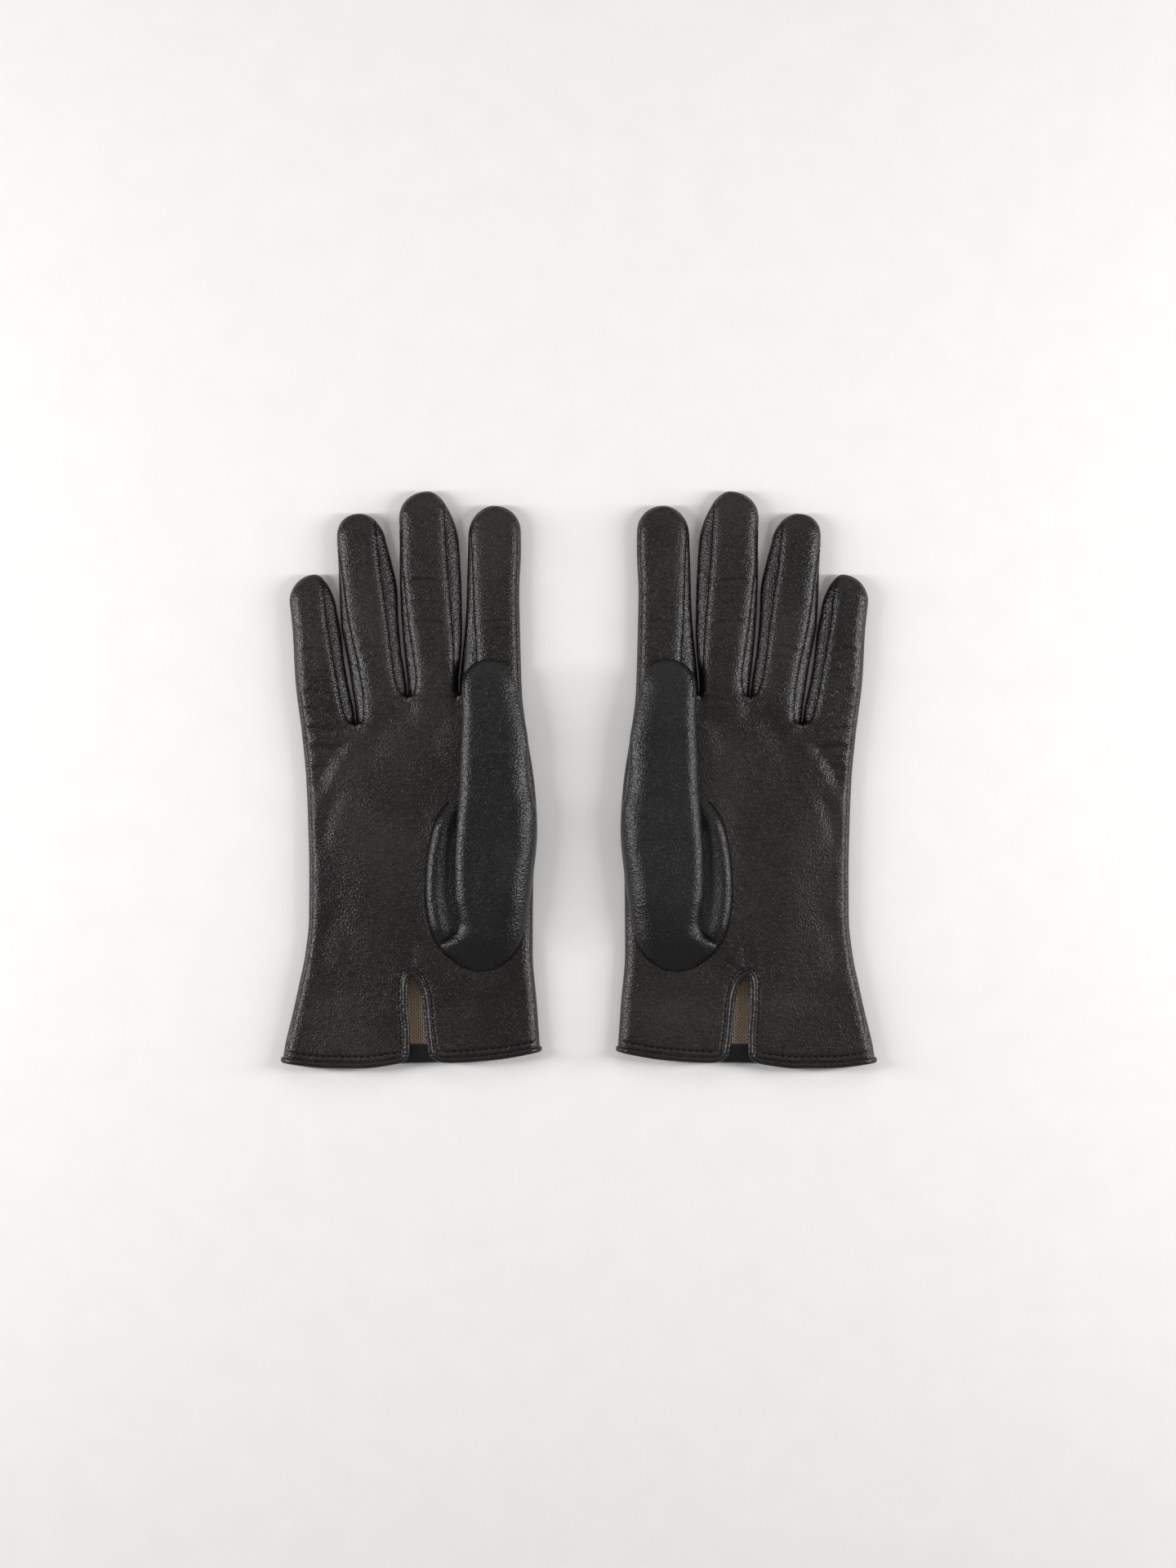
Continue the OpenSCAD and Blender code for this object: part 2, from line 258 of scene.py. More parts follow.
# Creases in the palm side: (x, y) of both ends, how far the middle bows, depth and half width
CREASES = [
    ((57, 81.6), (72, 82.2), 0.9, 0.50, 0.65),
    ((55, 72.2), (71, 73.2), 0.7, 0.26, 0.7),
    ((54.5, 63.6), (70, 65.4), 0.9, 0.34, 0.8),
    ((54, 57.6), (66, 59.8), -0.7, 0.14, 0.8),
    ((26, 65.2), (40, 64.6), 0.6, 0.26, 0.8),
    ((28, 62.4), (38, 61.6), 0.4, 0.14, 0.7),
    ((34, 81.5), (42, 83.4), 0.3, 0.12, 0.8),
    ((81, 55.0), (92, 53.0), 0.5, 0.26, 0.8),
    ((80, 51.6), (90, 49.8), -0.4, 0.16, 0.7),
    ((86, 60.4), (93, 61.6), 0.3, 0.12, 0.7),
    ((104, 52.0), (116.6, 53.8), 1.0, 0.34, 0.8),
    ((102.5, 44.0), (110, 45.0), 0.4, 0.18, 0.7),
    ((104, 34), (116, 37.5), 0.6, 0.24, 1.0),
    ((103, 26), (116, 29.5), 0.8, 0.22, 1.1),
    ((100, 18.5), (115, 21.0), 1.0, 0.30, 1.2),
    ((98, 11.5), (113.6, 12.5), 1.2, 0.34, 1.3),
    ((99, 5.0), (113.4, 3.0), 0.8, 0.22, 1.1),
    ((61, 31.5), (68, 31.0), 0.3, 0.12, 0.8),
    ((73, -82), (79, -76), 0.2, 0.14, 0.9),
    ((67, -79), (60, -75), 0.2, 0.12, 0.9),
]
# Broad soft folds: (x, y) of both ends, bow, height (negative is a hollow) and half width
FOLDS = [
    ((97, 14), (110, -5), 1.5, -0.75, 3.4),
    ((90, 17), (103, 3), 1.5, 0.45, 3.2),
    ((101, -6), (107, -28), 1.0, -0.55, 3.6),
    ((72, 30), (88, 6), 3.0, -0.35, 5.0),
    ((63, -8), (66, -60), 4.0, -0.35, 6.0),
    ((88, -30), (84, -72), 2.0, 0.35, 8.0),
    ((100, -55), (108, -78), 2.0, -0.40, 5.0),
    ((70, -79), (69.5, -68), 0.4, -0.25, 2.0),
    ((55, 26), (62, 12), 1.0, -0.3, 4.0),
    ((82, -96), (110, -90), 2.5, -0.3, 6.0),
    ((30, -96), (52, -92), 1.5, -0.25, 5.0),
]


def along(x, y, a, b, bow):
    """Place along the line from a to b, from 0 to 1, and distance from it, for a line that bows."""
    ax, ay = a
    dx, dy = b[0] - ax, b[1] - ay
    length = math.hypot(dx, dy)
    t = ((x - ax) * dx + (y - ay) * dy) / length**2
    d = ((y - ay) * dx - (x - ax) * dy) / length - bow * 4 * t * (1 - t)
    return t, d


def wrinkles(x, y):
    """Height that creases and soft folds add to the palm side."""
    z = np.zeros_like(x)
    crease_end, wobble, rim_at, rim_width = 0.22, 0.25, 2, 1.3
    for a, b, bow, depth, width in CREASES:
        t, d = along(x, y, a, b, bow)
        fade = smooth(t / crease_end) * smooth((1 - t) / crease_end)
        wave = np.sin(t * 23 + depth * 90) * wobble
        q = (d + wave) / width
        rims = 0.75 * bell(q - rim_at, rim_width), 0.55 * bell(q + rim_at, rim_width)
        z += fade * depth * (-1.5 * bell(q, 1) + rims[0] + rims[1])
    overrun, fold_end, fold_gain = 0.25, 0.5, 1.35
    for a, b, bow, height, width in FOLDS:
        t, d = along(x, y, a, b, bow)
        fade = smooth((t + overrun) / fold_end) * smooth((1 + overrun - t) / fold_end)
        z += fold_gain * fade * height * bell(d, width)
    return z


def rumple(x, y, scale, seed):
    """Smooth random height, from about -1 to 1, with hills about scale mm wide."""
    flat = np.stack([x.ravel() / scale, y.ravel() / scale], axis=1)
    values = [noise.noise(Vector((a, b, seed))) for a, b in flat]
    return np.array(values).reshape(x.shape)


def hand_waves(x, y):
    """Broad, lazy waves of the leather, weaker in the fingers."""
    calmer = 0.7 * smooth((y - Y_FINGERS) / 20)
    return 0.40 * rumple(x, y, 24, 3.3) * (1 - calmer)


def round_over(distance, width):
    """0 at an edge and 1 from width on, rounded as a quarter circle."""
    q = np.clip(distance / width, 0, 1)
    return np.sqrt(np.maximum(1 - (1 - q) ** 2, 0))


def tip_taper(finger, side, y):
    """1 where a fourchette shows beside the palm's leaf, falling to 0 where it ends at the tip."""
    gap = np.abs(seam_x(finger, side, y) - side_x(finger, side, y))
    shoulder = max(FINGERS[finger]["shoulder"])
    taper_length, full_gap = 25, 1.6
    return np.where(y < shoulder - taper_length, 1.0, smooth(gap / full_gap))


def crown(finger, y):
    """Height of the middle of a finger along its length."""
    top = FINGERS[finger]["tip"][0]
    reach, n = 13.0, 2.2
    t = np.clip((y - (top - reach)) / reach, 0, 1)
    rise = Z_PALM + (Z_FINGER - Z_PALM) * smooth((y - Y_FINGERS) / 25)
    return Z_EDGE + (rise - Z_EDGE) * np.maximum(1 - t**n, 0.0) ** (1 / n)


def outer_seam_dip(finger, y, d):
    """How far the leather is drawn in along the seam near an outside edge, d mm in from it."""
    if finger == "little":
        runs, inset = smooth((40 - y) / 6), WELT_INSET
    else:
        runs, inset = smooth((y - Y_FINGERS) / 6) * smooth((108 - y) / 5), 1.4
    groove = 0.42 * bell(d - inset, 0.42)
    swell = 0.18 * bell(d - inset - 1.1, 0.6)
    return runs * (groove - swell)


def stitched_dips(x, y):
    """How far the leather is drawn in under the rows of stitches round the cuff and the vent."""
    above_hem = y - curve(CUFF_EDGE, x)
    near_vent = np.full_like(x, 1e3)
    close = (y < VENT_TOP + VENT_REACH) & (x > 54) & (x < 82)
    places = np.column_stack([x[close], y[close]])
    line = vent_line(0.5)
    if len(places):
        near_vent[close] = np.sqrt(((places[:, None, :] - line[None, :, :]) ** 2).sum(axis=2).min(axis=1))
    clear_of_vent = smooth((near_vent - 3) / 2)
    dips = 0.42 * bell(above_hem - HEM_STITCHES, 0.55) * clear_of_vent
    clear_of_hem = smooth((above_hem - 2.5) / 2)
    dips += clear_of_hem * 0.38 * bell(near_vent - VENT_STITCHES, 0.45)
    dips += 0.30 * bell(above_hem - BINDING_EDGE, 0.4)
    return dips


def vent_line(step):
    """Points round the vent, in the plane, from its thumb side to its little-finger side."""
    up = np.arange(Y_VENT_FOOT, VENT_TOP, step)
    lo = np.column_stack([curve(VENT_LO, up), up])
    hi = np.column_stack([curve(VENT_HI, up[::-1]), up[::-1]])
    return np.concatenate([lo, [[69.85, VENT_TOP + 0.35]], hi])


def seam_height(zc, taper):
    """Height of the palm's seam beside a fourchette, for a crown zc high."""
    return Z_EDGE + (zc - Z_EDGE) * (1 - SEAM_DROP * taper - (1 - taper))


def fork_fall(finger, side, y, d, zc, width):
    """How far the palm's leather falls towards a fourchette's seam, d mm in from it."""
    fork = fork_y(finger, side)
    starts_below, full_after = 13, 15
    near = smooth((y - (fork - starts_below)) / full_after)
    open_fork = smooth((y - fork + 2.5) / 3)
    fall = (1 - round_over(d, np.minimum(FORK_ROUND, width * 0.5))) ** 1.2
    below_fork = 0.6 * smooth(1 - d / 6.5)
    fall = fall * open_fork + below_fork * (1 - open_fork)
    return near * (zc - seam_height(zc, tip_taper(finger, side, y))) * fall


def fork_seam_dip(finger, side, y, d):
    """How far the leather is drawn in at a fourchette's seam and its stitches, d mm in from it."""
    sewn = smooth((y - fork_y(finger, side)) / 1.5)
    return sewn * (0.50 * (1 - round_over(d, 0.7)) + 0.16 * bell(d - 0.78, 0.25))


def palm_side(finger, x, y, lo, hi):
    """Height of the palm side's leather in a finger's strip."""
    zc = crown(finger, y)
    z = zc.copy()
    width = np.maximum(hi - lo, LEAST_WIDTH)
    for side, d in (("lo", x - lo), ("hi", hi - x)):
        if fork_y(finger, side) is None:
            z -= (zc - Z_EDGE) * (1 - round_over(d, np.minimum(PALM_ROUND, width * 0.5)))
            z -= outer_seam_dip(finger, y, d)
        else:
            z -= fork_fall(finger, side, y, d, zc, width)
            z -= fork_seam_dip(finger, side, y, d)
    calm = np.where(y > 30, smooth(np.minimum(x - lo, hi - x) / 2.5), 1.0)
    flat = smooth((zc - Z_EDGE - 1) / 2)
    edge_fade = smooth((x - curve(HAND_LO, np.minimum(y, Y_FINGERS)) + 0.3) / 4)
    z += flat * calm * np.minimum(edge_fade, 1) * (wrinkles(x, y) + hand_waves(x, y)
                                                    + 0.14 * rumple(x, y, 11, 1.7)
                                                    + 0.05 * rumple(x, y, 4.5, 7.3))
    if y.min() < VENT_TOP + VENT_REACH:
        from_side = np.minimum(x - curve(HAND_LO, y), curve(HAND_HI, y) - x)
        z -= flat * smooth(from_side / 3) * stitched_dips(x, y)
    return z


def sweep_to_cuff(x, y, vent_corner=0.0):
    """Moves the rows near the cuff so that the last one follows the cuff's edge."""
    inside_binding, corner_run = 1.2, 1.9
    lo_corner, hi_corner = 60.7, VENT_HI[0][1]
    edge = curve(CUFF_EDGE, x) + inside_binding
    corner = np.where(x < 66, lo_corner - x, x - hi_corner)
    edge = edge + vent_corner * np.exp(-np.abs(corner) / corner_run)
    fade = smooth((Y_CUFF_SWEEP - y) / (Y_CUFF_SWEEP - Y_CUFF))
    return y + (edge - Y_CUFF) * fade


def strip_points(edge_x, finger, rows):
    """The edges of a finger's strip as columns, and its rows as a table."""
    y = np.asarray(rows)[:, None] + np.zeros(COLUMNS + 1)[None, :]
    return edge_x(finger, "lo", rows)[:, None], edge_x(finger, "hi", rows)[:, None], y


def palm_grid(finger, rows):
    """Points of the palm side's leather in a finger's strip, as rows of columns."""
    lo, hi, y = strip_points(strip_x, finger, rows)
    x = lo + (hi - lo) * ease_spaced(COLUMNS)[None, :]
    y = sweep_to_cuff(x, y, VENT_CORNER)
    z = palm_side(finger, x, y, lo + 0 * x, hi + 0 * x)
    return np.stack([x, y, z], axis=2)


def back_x(finger, side, y):
    """Edge of the back's leather in a finger's strip at each y."""
    y = np.asarray(y, float)
    i = ORDER.index(finger)
    fork = fork_y(finger, side)
    tuck = 0.7 if side == "lo" else -0.7
    if fork is None:
        low = curve(HAND_LO if side == "lo" else HAND_HI, y)
        return np.where(y < Y_FINGERS, low, side_x(finger, side, y))
    low = curve(LINES[ORDER[i - 1] if side == "lo" else finger], y)
    return np.where(y < fork, low, side_x(finger, side, y) + tuck * smooth((y - fork) / 5))


def back_grid(finger, rows):
    """Points of the back's leather in a finger's strip. The columns run hi to lo, so that it faces down."""
    lo, hi, y = strip_points(back_x, finger, rows)
    x = hi + (lo - hi) * ease_spaced(COLUMNS)[None, :]
    y = sweep_to_cuff(x, y)
    top = FINGERS[finger]["tip"][0]
    reach, n = 8, 2.4
    t = np.clip((y - (top - reach)) / reach, 0, 1)
    zc = Z_EDGE - (Z_EDGE - Z_BACK) * np.maximum(1 - t**n, 0) ** (1 / n)
    z = zc.copy()
    width = np.maximum(hi - lo, LEAST_WIDTH)
    for side, d in (("lo", x - lo), ("hi", hi - x)):
        fork = fork_y(finger, side)
        if fork is None:
            z += (Z_EDGE - zc) * (1 - round_over(d, np.minimum(BACK_ROUND, width * 0.5)))
        else:
            lift = smooth((y - fork) / 4) * BACK_LIFT
            taper = tip_taper(finger, side, y)
            rise = lift * (taper + (1 - taper) * (Z_EDGE - zc) / BACK_LIFT)
            z += rise * (1 - round_over(d, np.minimum(BACK_FORK_ROUND, width * 0.5)))
    z = z + 0.12 * np.abs(rumple(x, y, 16, 4.1)) * smooth(np.minimum(x - lo, hi - x) / 6)
    return np.stack([x, y, z], axis=2)


def bezier(t, a, b, c, d):
    return (1 - t)**3 * a + 3 * (1 - t)**2 * t * b + 3 * (1 - t) * t**2 * c + t**3 * d


def fourchette_grid(finger, side, steps=14):
    """Points of the strip between a finger's palm leaf and its back leaf, as rows of columns."""
    fork = fork_y(finger, side)
    rows = finger_rows(finger)
    rows = np.concatenate([[fork], rows[rows > fork + 0.2]])
    inward = 1.0 if side == "lo" else -1.0
    p = seam_x(finger, side, rows)
    s = side_x(finger, side, rows)
    b = back_x(finger, side, rows)
    zc = crown(finger, rows)
    taper = tip_taper(finger, side, rows)
    under_leaf = 0.40
    edge = seam_height(zc, taper) - under_leaf
    open_up = smooth((rows - fork) / 6)
    low = Z_BACK + BACK_LIFT * smooth((rows - fork) / 4)
    low = np.where(taper < 1, low * taper + Z_EDGE * (1 - taper), low)
    mid = low + 0.45 * (edge - low)
    t = np.linspace(0, 1, steps + 1)[None, :]
    ax, az = (p + inward * 0.22)[:, None], (edge - 0.1)[:, None]
    bx, bz = (p + (s - p) * 0.55)[:, None], (edge - 0.6)[:, None]
    cx, cz = (s + (s - p) * 0.18 * open_up)[:, None], mid[:, None]
    dx, dz = b[:, None], low[:, None]
    x = bezier(t, ax, bx, cx, dx)
    z = bezier(t, az, bz, cz, dz)
    y = rows[:, None] + 0 * x
    z = z + 0.10 * rumple(x, y * 0.45, 3.5, 2.2) * np.sin(math.pi * t)
    x = x + inward * 0.12 * rumple(x, y, 4.0, 5.2) * np.sin(math.pi * t)
    grid = np.stack([x, y, z], axis=2)
    return grid if side == "hi" else grid[:, ::-1]


# ---- Meshes ------------------------------------------------------------------------------------

def grid_faces(rows, cols, start=0, closed=False):
    """Quads between neighbouring points of a grid, facing up when x and y grow with column and row."""
    faces = []
    for r in range(rows - 1):
        for c in range(cols if closed else cols - 1):
            d = (c + 1) % cols
            a = start + r * cols
            faces.append((a + c, a + d, a + cols + d, a + cols + c))
    return faces


MATERIALS = {}


def build(name, grids, side, material, closed=False):
    """One mesh object from one or more grids of points in mm, mirrored for the right glove."""
    verts, faces = [], []
    for grid in grids:
        faces += grid_faces(grid.shape[0], grid.shape[1], len(verts), closed)
        verts += grid.reshape(-1, 3).tolist()
    return finish_mesh(name, verts, faces, side, material)


def finish_mesh(name, verts, faces, side, material, weld=0.004):
    """Mesh object from points in mm and faces, mirrored for the right glove, near points welded."""
    points = np.array(verts, float) * MM
    if SIDES[side] < 0:
        points[:, 0] *= -1
        faces = [f[::-1] for f in faces]
    mesh = bpy.data.meshes.new(f"{side}_{name}")
    mesh.from_pydata(points.tolist(), [], faces)
    obj = bpy.data.objects.new(f"{side}_{name}", mesh)
    bpy.context.scene.collection.objects.link(obj)
    weld_mesh(mesh, weld * MM)
    mesh.polygons.foreach_set("use_smooth", [True] * len(mesh.polygons))
    mesh.materials.append(MATERIALS[material])
    return obj


def weld_mesh(mesh, distance):
    bm = bmesh.new()
    bm.from_mesh(mesh)
    bmesh.ops.remove_doubles(bm, verts=bm.verts, dist=distance)
    bmesh.ops.dissolve_degenerate(bm, dist=distance / 2, edges=bm.edges)
    bm.to_mesh(mesh)
    bm.free()


def tube_faces(rings, sides, start=0):
    """Quads between the rings of a tube, and a face over each end."""
    rows = [start + r * sides for r in range(rings)]
    faces = [(a + c, a + (c + 1) % sides, b + (c + 1) % sides, b + c)
             for a, b in zip(rows, rows[1:]) for c in range(sides)]
    first, last = ([row + c for c in range(sides)] for row in (rows[0], rows[-1]))
    return faces + [tuple(first[::-1]), tuple(last)]


def sweep_tube(path, across, up, half_w, half_h, sides):
    """Points and faces of a tube with an oval section along a path of points in mm."""
    angles = np.linspace(0, 2 * math.pi, sides, endpoint=False)
    verts = [(p + a * half_w * math.cos(t) + u * half_h * math.sin(t)).tolist()
             for p, a, u in zip(path, across, up) for t in angles]
    return verts, tube_faces(len(path), sides)


def unit_rows(v):
    return v / np.maximum(np.linalg.norm(v, axis=1, keepdims=True), 1e-9)


def stitch_meshes(places, directions, normals, length, radius):
    """Points and faces of one small rounded stitch at each place."""
    verts, faces = [], []
    # Place along the stitch as a share of its length, and thickness there as a share of its radius
    profile = [(-0.5, 0.25), (-0.36, 0.85), (0, 1.0), (0.36, 0.85), (0.5, 0.25)]
    sides = 6
    for p, d, n in zip(places, directions, normals):
        a = np.cross(d, n)
        faces += tube_faces(len(profile), sides, len(verts))
        for s, r in profile:
            for t in (2 * math.pi * k / sides for k in range(sides)):
                offset = (a * math.cos(t) + n * math.sin(t)) * r * radius
                verts.append((p + d * s * length + offset).tolist())
    return verts, faces


def run_along(points):
    """Length along a path up to each of its points."""
    return np.concatenate([[0], np.cumsum(np.linalg.norm(np.diff(points, axis=0), axis=1))])


def points_at(points, at):
    """Points of a path at lengths along it."""
    run = run_along(points)
    return np.stack([np.interp(at, run, points[:, k]) for k in range(3)], axis=1)


def resample(points, step):
    """The same path with its points about a step apart."""
    length = run_along(points)[-1]
    return points_at(points, np.linspace(0, length, int(length / step) + 1))


def even_steps(points, pitch):
    """Places at an even pitch along a path, with the direction of the path at each."""
    at = np.arange(pitch / 2, run_along(points)[-1], pitch)
    near = 0.2
    return points_at(points, at), unit_rows(points_at(points, at + near) - points_at(points, at - near))


UP = np.array([0.0, 0.0, 1.0])


# ---- Materials ---------------------------------------------------------------------------------

def new_material(name, roughness, specular=0.5):
    """A new material's node tree and its Principled shader."""
    material = bpy.data.materials.new(name)
    material.use_nodes = True
    tree = material.node_tree
    shader = tree.nodes["Principled BSDF"]
    shader.inputs["Roughness"].default_value = roughness
    shader.inputs["Specular IOR Level"].default_value = specular
    MATERIALS[name] = material
    return tree, shader


def add(tree, kind, **values):
    """Adds a node, sets its properties, and sets its inputs by name."""
    node = tree.nodes.new(kind)
    for key, value in values.items():
        if hasattr(node, key):
            setattr(node, key, value)
        else:
            node.inputs[key.replace("_", " ")].default_value = value
    return node


def place(tree, stretch=(1, 1, 1)):
    """Object coordinates in metres, stretched along each axis."""
    coordinates = add(tree, "ShaderNodeTexCoord")
    mapping = add(tree, "ShaderNodeMapping")
    mapping.inputs["Scale"].default_value = stretch
    tree.links.new(coordinates.outputs["Object"], mapping.inputs["Vector"])
    return mapping.outputs["Vector"]


def texture(tree, kind, vector, scale, **values):
    node = add(tree, kind, **values)
    node.inputs["Scale"].default_value = scale
    tree.links.new(vector, node.inputs["Vector"])
    return node


def ramp(tree, factor, stops):
    """Colour ramp through (position, colour) stops."""
    node = add(tree, "ShaderNodeValToRGB")
    elements = node.color_ramp.elements
    while len(elements) < len(stops):
        elements.new(0.5)
    for element, (position, colour) in zip(elements, stops):
        element.position = position
        element.color = (*colour, 1)
    tree.links.new(factor, node.inputs["Fac"])
    return node.outputs["Color"]


def spread(tree, value, low, high, from_low=0.0, from_high=1.0):
    node = add(tree, "ShaderNodeMapRange")
    for name, number in (("From Min", from_low), ("From Max", from_high), ("To Min", low), ("To Max", high)):
        node.inputs[name].default_value = number
    tree.links.new(value, node.inputs["Value"])
    return node.outputs["Result"]


def bump(tree, height, distance, strength, below=None):
    node = add(tree, "ShaderNodeBump")
    node.inputs["Distance"].default_value = distance
    node.inputs["Strength"].default_value = strength
    tree.links.new(height, node.inputs["Height"])
    if below is not None:
        tree.links.new(below, node.inputs["Normal"])
    return node.outputs["Normal"]


def mix_colour(tree, factor, below, above):
    """The colour of a socket with another colour over it."""
    node = add(tree, "ShaderNodeMix", data_type="RGBA")
    tree.links.new(factor, node.inputs["Factor"])
    tree.links.new(below, node.inputs["A"])
    node.inputs["B"].default_value = (*above, 1)
    return node.outputs["Result"]


def maths(tree, operation, *values):
    """Math node on sockets and numbers."""
    node = add(tree, "ShaderNodeMath", operation=operation)
    for socket, value in zip(node.inputs, values):
        if hasattr(value, "is_output"):
            tree.links.new(value, socket)
        else:
            socket.default_value = value
    return node.outputs[0]


def shades(colour, factor):
    """A darker or lighter shade of a colour."""
    return tuple(min(1, c * factor) for c in colour)


def leather(name, dark, light, roughness, grain=1.0):
    """Nappa leather: pebbled grain, faint stretch lines, pores, worn, lighter high spots, and broad mottling
    that is partly the leather's own tone and partly painted sheen.
    """
    tree, shader = new_material(name, roughness, 0.45)
    vector = place(tree)
    pebbles = texture(tree, "ShaderNodeTexVoronoi", vector, 1300.0, feature="SMOOTH_F1", Smoothness=0.4)
    fine = texture(tree, "ShaderNodeTexNoise", vector, 2500.0, Detail=3.0)
    lines = texture(tree, "ShaderNodeTexNoise", place(tree, (1.0, 2.4, 1.0)), 430.0, Detail=5.0)
    broad = texture(tree, "ShaderNodeTexNoise", vector, 26.0, Detail=4.0)
    # Painted sheen: the broad noise mottles the colour between dark and light, partly the leather's own
    # uneven tone and partly broad reflections of light painted in.
    base = ramp(tree, broad.outputs["Fac"], [(0.36, dark), (0.66, light)])
    pores = spread(tree, pebbles.outputs["Distance"], 0.0, 0.75, 0.20, 0.75)
    colour = mix_colour(tree, pores, base, shades(dark, 0.35))
    worn = spread(tree, fine.outputs["Fac"], 0.0, 0.40, 0.52, 0.78)
    colour = mix_colour(tree, worn, colour, shades(light, 1.9))
    tree.links.new(colour, shader.inputs["Base Color"])
    patchy = spread(tree, broad.outputs["Fac"], roughness - 0.05, roughness + 0.06, 0.3, 0.7)
    rough = maths(tree, "MULTIPLY_ADD", fine.outputs["Fac"], 0.16, patchy)
    tree.links.new(rough, shader.inputs["Roughness"])
    normal = bump(tree, pebbles.outputs["Distance"], 0.00024 * grain, 0.75)
    normal = bump(tree, fine.outputs["Fac"], 0.00018 * grain, 0.55, normal)
    normal = bump(tree, lines.outputs["Fac"], 0.00042 * grain, 0.40, normal)
    tree.links.new(normal, shader.inputs["Normal"])


def knit_height(tree, vector):
    """Height of a plain knit, from columns of V-shaped loops."""
    column, course, slant = 1.8 * MM, 1.5 * MM, 1.5
    split = add(tree, "ShaderNodeSeparateXYZ")
    tree.links.new(vector, split.inputs["Vector"])
    wobble = texture(tree, "ShaderNodeTexNoise", vector, 300.0)
    across = maths(tree, "MULTIPLY", split.outputs["X"], 1 / column)
    across = maths(tree, "ADD", across, maths(tree, "MULTIPLY", wobble.outputs["Fac"], 0.35))
    lean = maths(tree, "PINGPONG", across, 0.5)
    up = maths(tree, "MULTIPLY", split.outputs["Y"], 1 / course)
    loop = maths(tree, "ADD", up, maths(tree, "MULTIPLY", lean, slant))
    rib = maths(tree, "SINE", maths(tree, "MULTIPLY", loop, 2 * math.pi))
    valley = maths(tree, "SINE", maths(tree, "MULTIPLY", lean, 2 * math.pi))
    return maths(tree, "ADD", maths(tree, "MULTIPLY", rib, 0.5), maths(tree, "ABSOLUTE", valley))


def knit(name, dark, light):
    """Fine plain knit with a soft fuzz, and painted shade in the hollows between its loops."""
    tree, shader = new_material(name, 0.9, 0.2)
    vector = place(tree)
    height = knit_height(tree, vector)
    fuzz = texture(tree, "ShaderNodeTexNoise", vector, 3500.0, Detail=4.0)
    # Painted shade: the colour runs from dark in the hollows between the loops to light on their tops.
    shade = spread(tree, height, 0.0, 1.0, -0.5, 1.4)
    base = ramp(tree, shade, [(0.25, dark), (0.8, light)])
    fluff = spread(tree, fuzz.outputs["Fac"], 0.0, 0.45, 0.35, 0.8)
    tree.links.new(mix_colour(tree, fluff, base, shades(light, 1.4)), shader.inputs["Base Color"])
    normal = bump(tree, height, 0.00035, 0.9)
    normal = bump(tree, fuzz.outputs["Fac"], 0.0002, 0.6, normal)
    tree.links.new(normal, shader.inputs["Normal"])
    shader.inputs["Sheen Weight"].default_value = 0.35
    shader.inputs["Sheen Roughness"].default_value = 0.6


def thread(name, dark, light):
    """Twisted sewing thread, with painted shade in the grooves of its twist."""
    tree, shader = new_material(name, 0.55, 0.12)
    twist = texture(tree, "ShaderNodeTexWave", place(tree), 900.0, Distortion=1.5)
    # Painted shade: the colour is darker in the grooves of the twist and lighter on its ridges.
    colour = ramp(tree, twist.outputs["Fac"], [(0.2, dark), (0.8, light)])
    tree.links.new(colour, shader.inputs["Base Color"])
    tree.links.new(bump(tree, twist.outputs["Fac"], 0.0001, 0.6), shader.inputs["Normal"])


def make_materials():
    leather("palm_leather", (0.0056, 0.0040, 0.0033), (0.0200, 0.0138, 0.0106), 0.19)
    leather("thumb_leather", (0.0032, 0.0030, 0.0032), (0.0070, 0.0063, 0.0065), 0.21)
    leather("side_leather", (0.0048, 0.0036, 0.0030), (0.0120, 0.0085, 0.0068), 0.19)
    leather("binding_leather", (0.0045, 0.0045, 0.0047), (0.0085, 0.0082, 0.0082), 0.21, 0.7)
    knit("knit_lining", (0.034, 0.021, 0.013), (0.660, 0.490, 0.345))
    thread("thread", (0.0015, 0.0015, 0.0015), (0.0060, 0.0058, 0.0056))


# ---- Pieces ------------------------------------------------------------------------------------

def bend_with(obj):
    """Bakes the piece's placement into its points."""
    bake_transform(obj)


def make_palm(side):
    grids = [palm_grid(f, hand_rows()) for f in ORDER]
    obj = build("palm_leather", grids, side, "palm_leather")
    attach(obj, f"{side}_hand")
    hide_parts(f"{side}_palm_panel")


def make_back(side):
    grids = [back_grid(f, hand_rows()) for f in ORDER]
    obj = build("back_leather", grids, side, "palm_leather")
    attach(obj, f"{side}_hand")
    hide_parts(f"{side}_back_panel")


def make_finger(side, finger):
    """The leaves of leather in front of and behind a finger, and the strips between them."""
    leaf = build(f"{finger}_palm_leaf", [palm_grid(finger, finger_rows(finger))], side, "palm_leather")
    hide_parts(f"{side}_{finger}_tip")
    bend_with(leaf)
    back = build(f"{finger}_back_leaf", [back_grid(finger, finger_rows(finger))], side, "palm_leather")
    bend_with(back)
    for edge in ("lo", "hi"):
        if fork_y(finger, edge) is None:
            continue
        strip = build(f"{finger}_{'thumb' if edge == 'lo' else 'little'}_side_fourchette",
                      [fourchette_grid(finger, edge)], side, "side_leather")
        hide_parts(*(f"{side}_{node}" for node in FOURCHETTE_NODES.get((finger, edge), [])))
        bend_with(strip)


def palm_height(x, y):
    """Height of the palm's leather at points in the hand."""
    x, y = np.asarray(x, float), np.asarray(y, float)
    z = np.zeros_like(x)
    far = 1e3
    bounds = [-far] + [curve(LINES[f], np.minimum(y, Y_FINGERS)) for f in ORDER[:-1]] + [far]
    for i, finger in enumerate(ORDER):
        here = (x >= bounds[i]) & (x < bounds[i + 1])
        lo, hi = strip_x(finger, "lo", y), strip_x(finger, "hi", y)
        z = np.where(here, palm_side(finger, x, y, lo, hi), z)
    return z


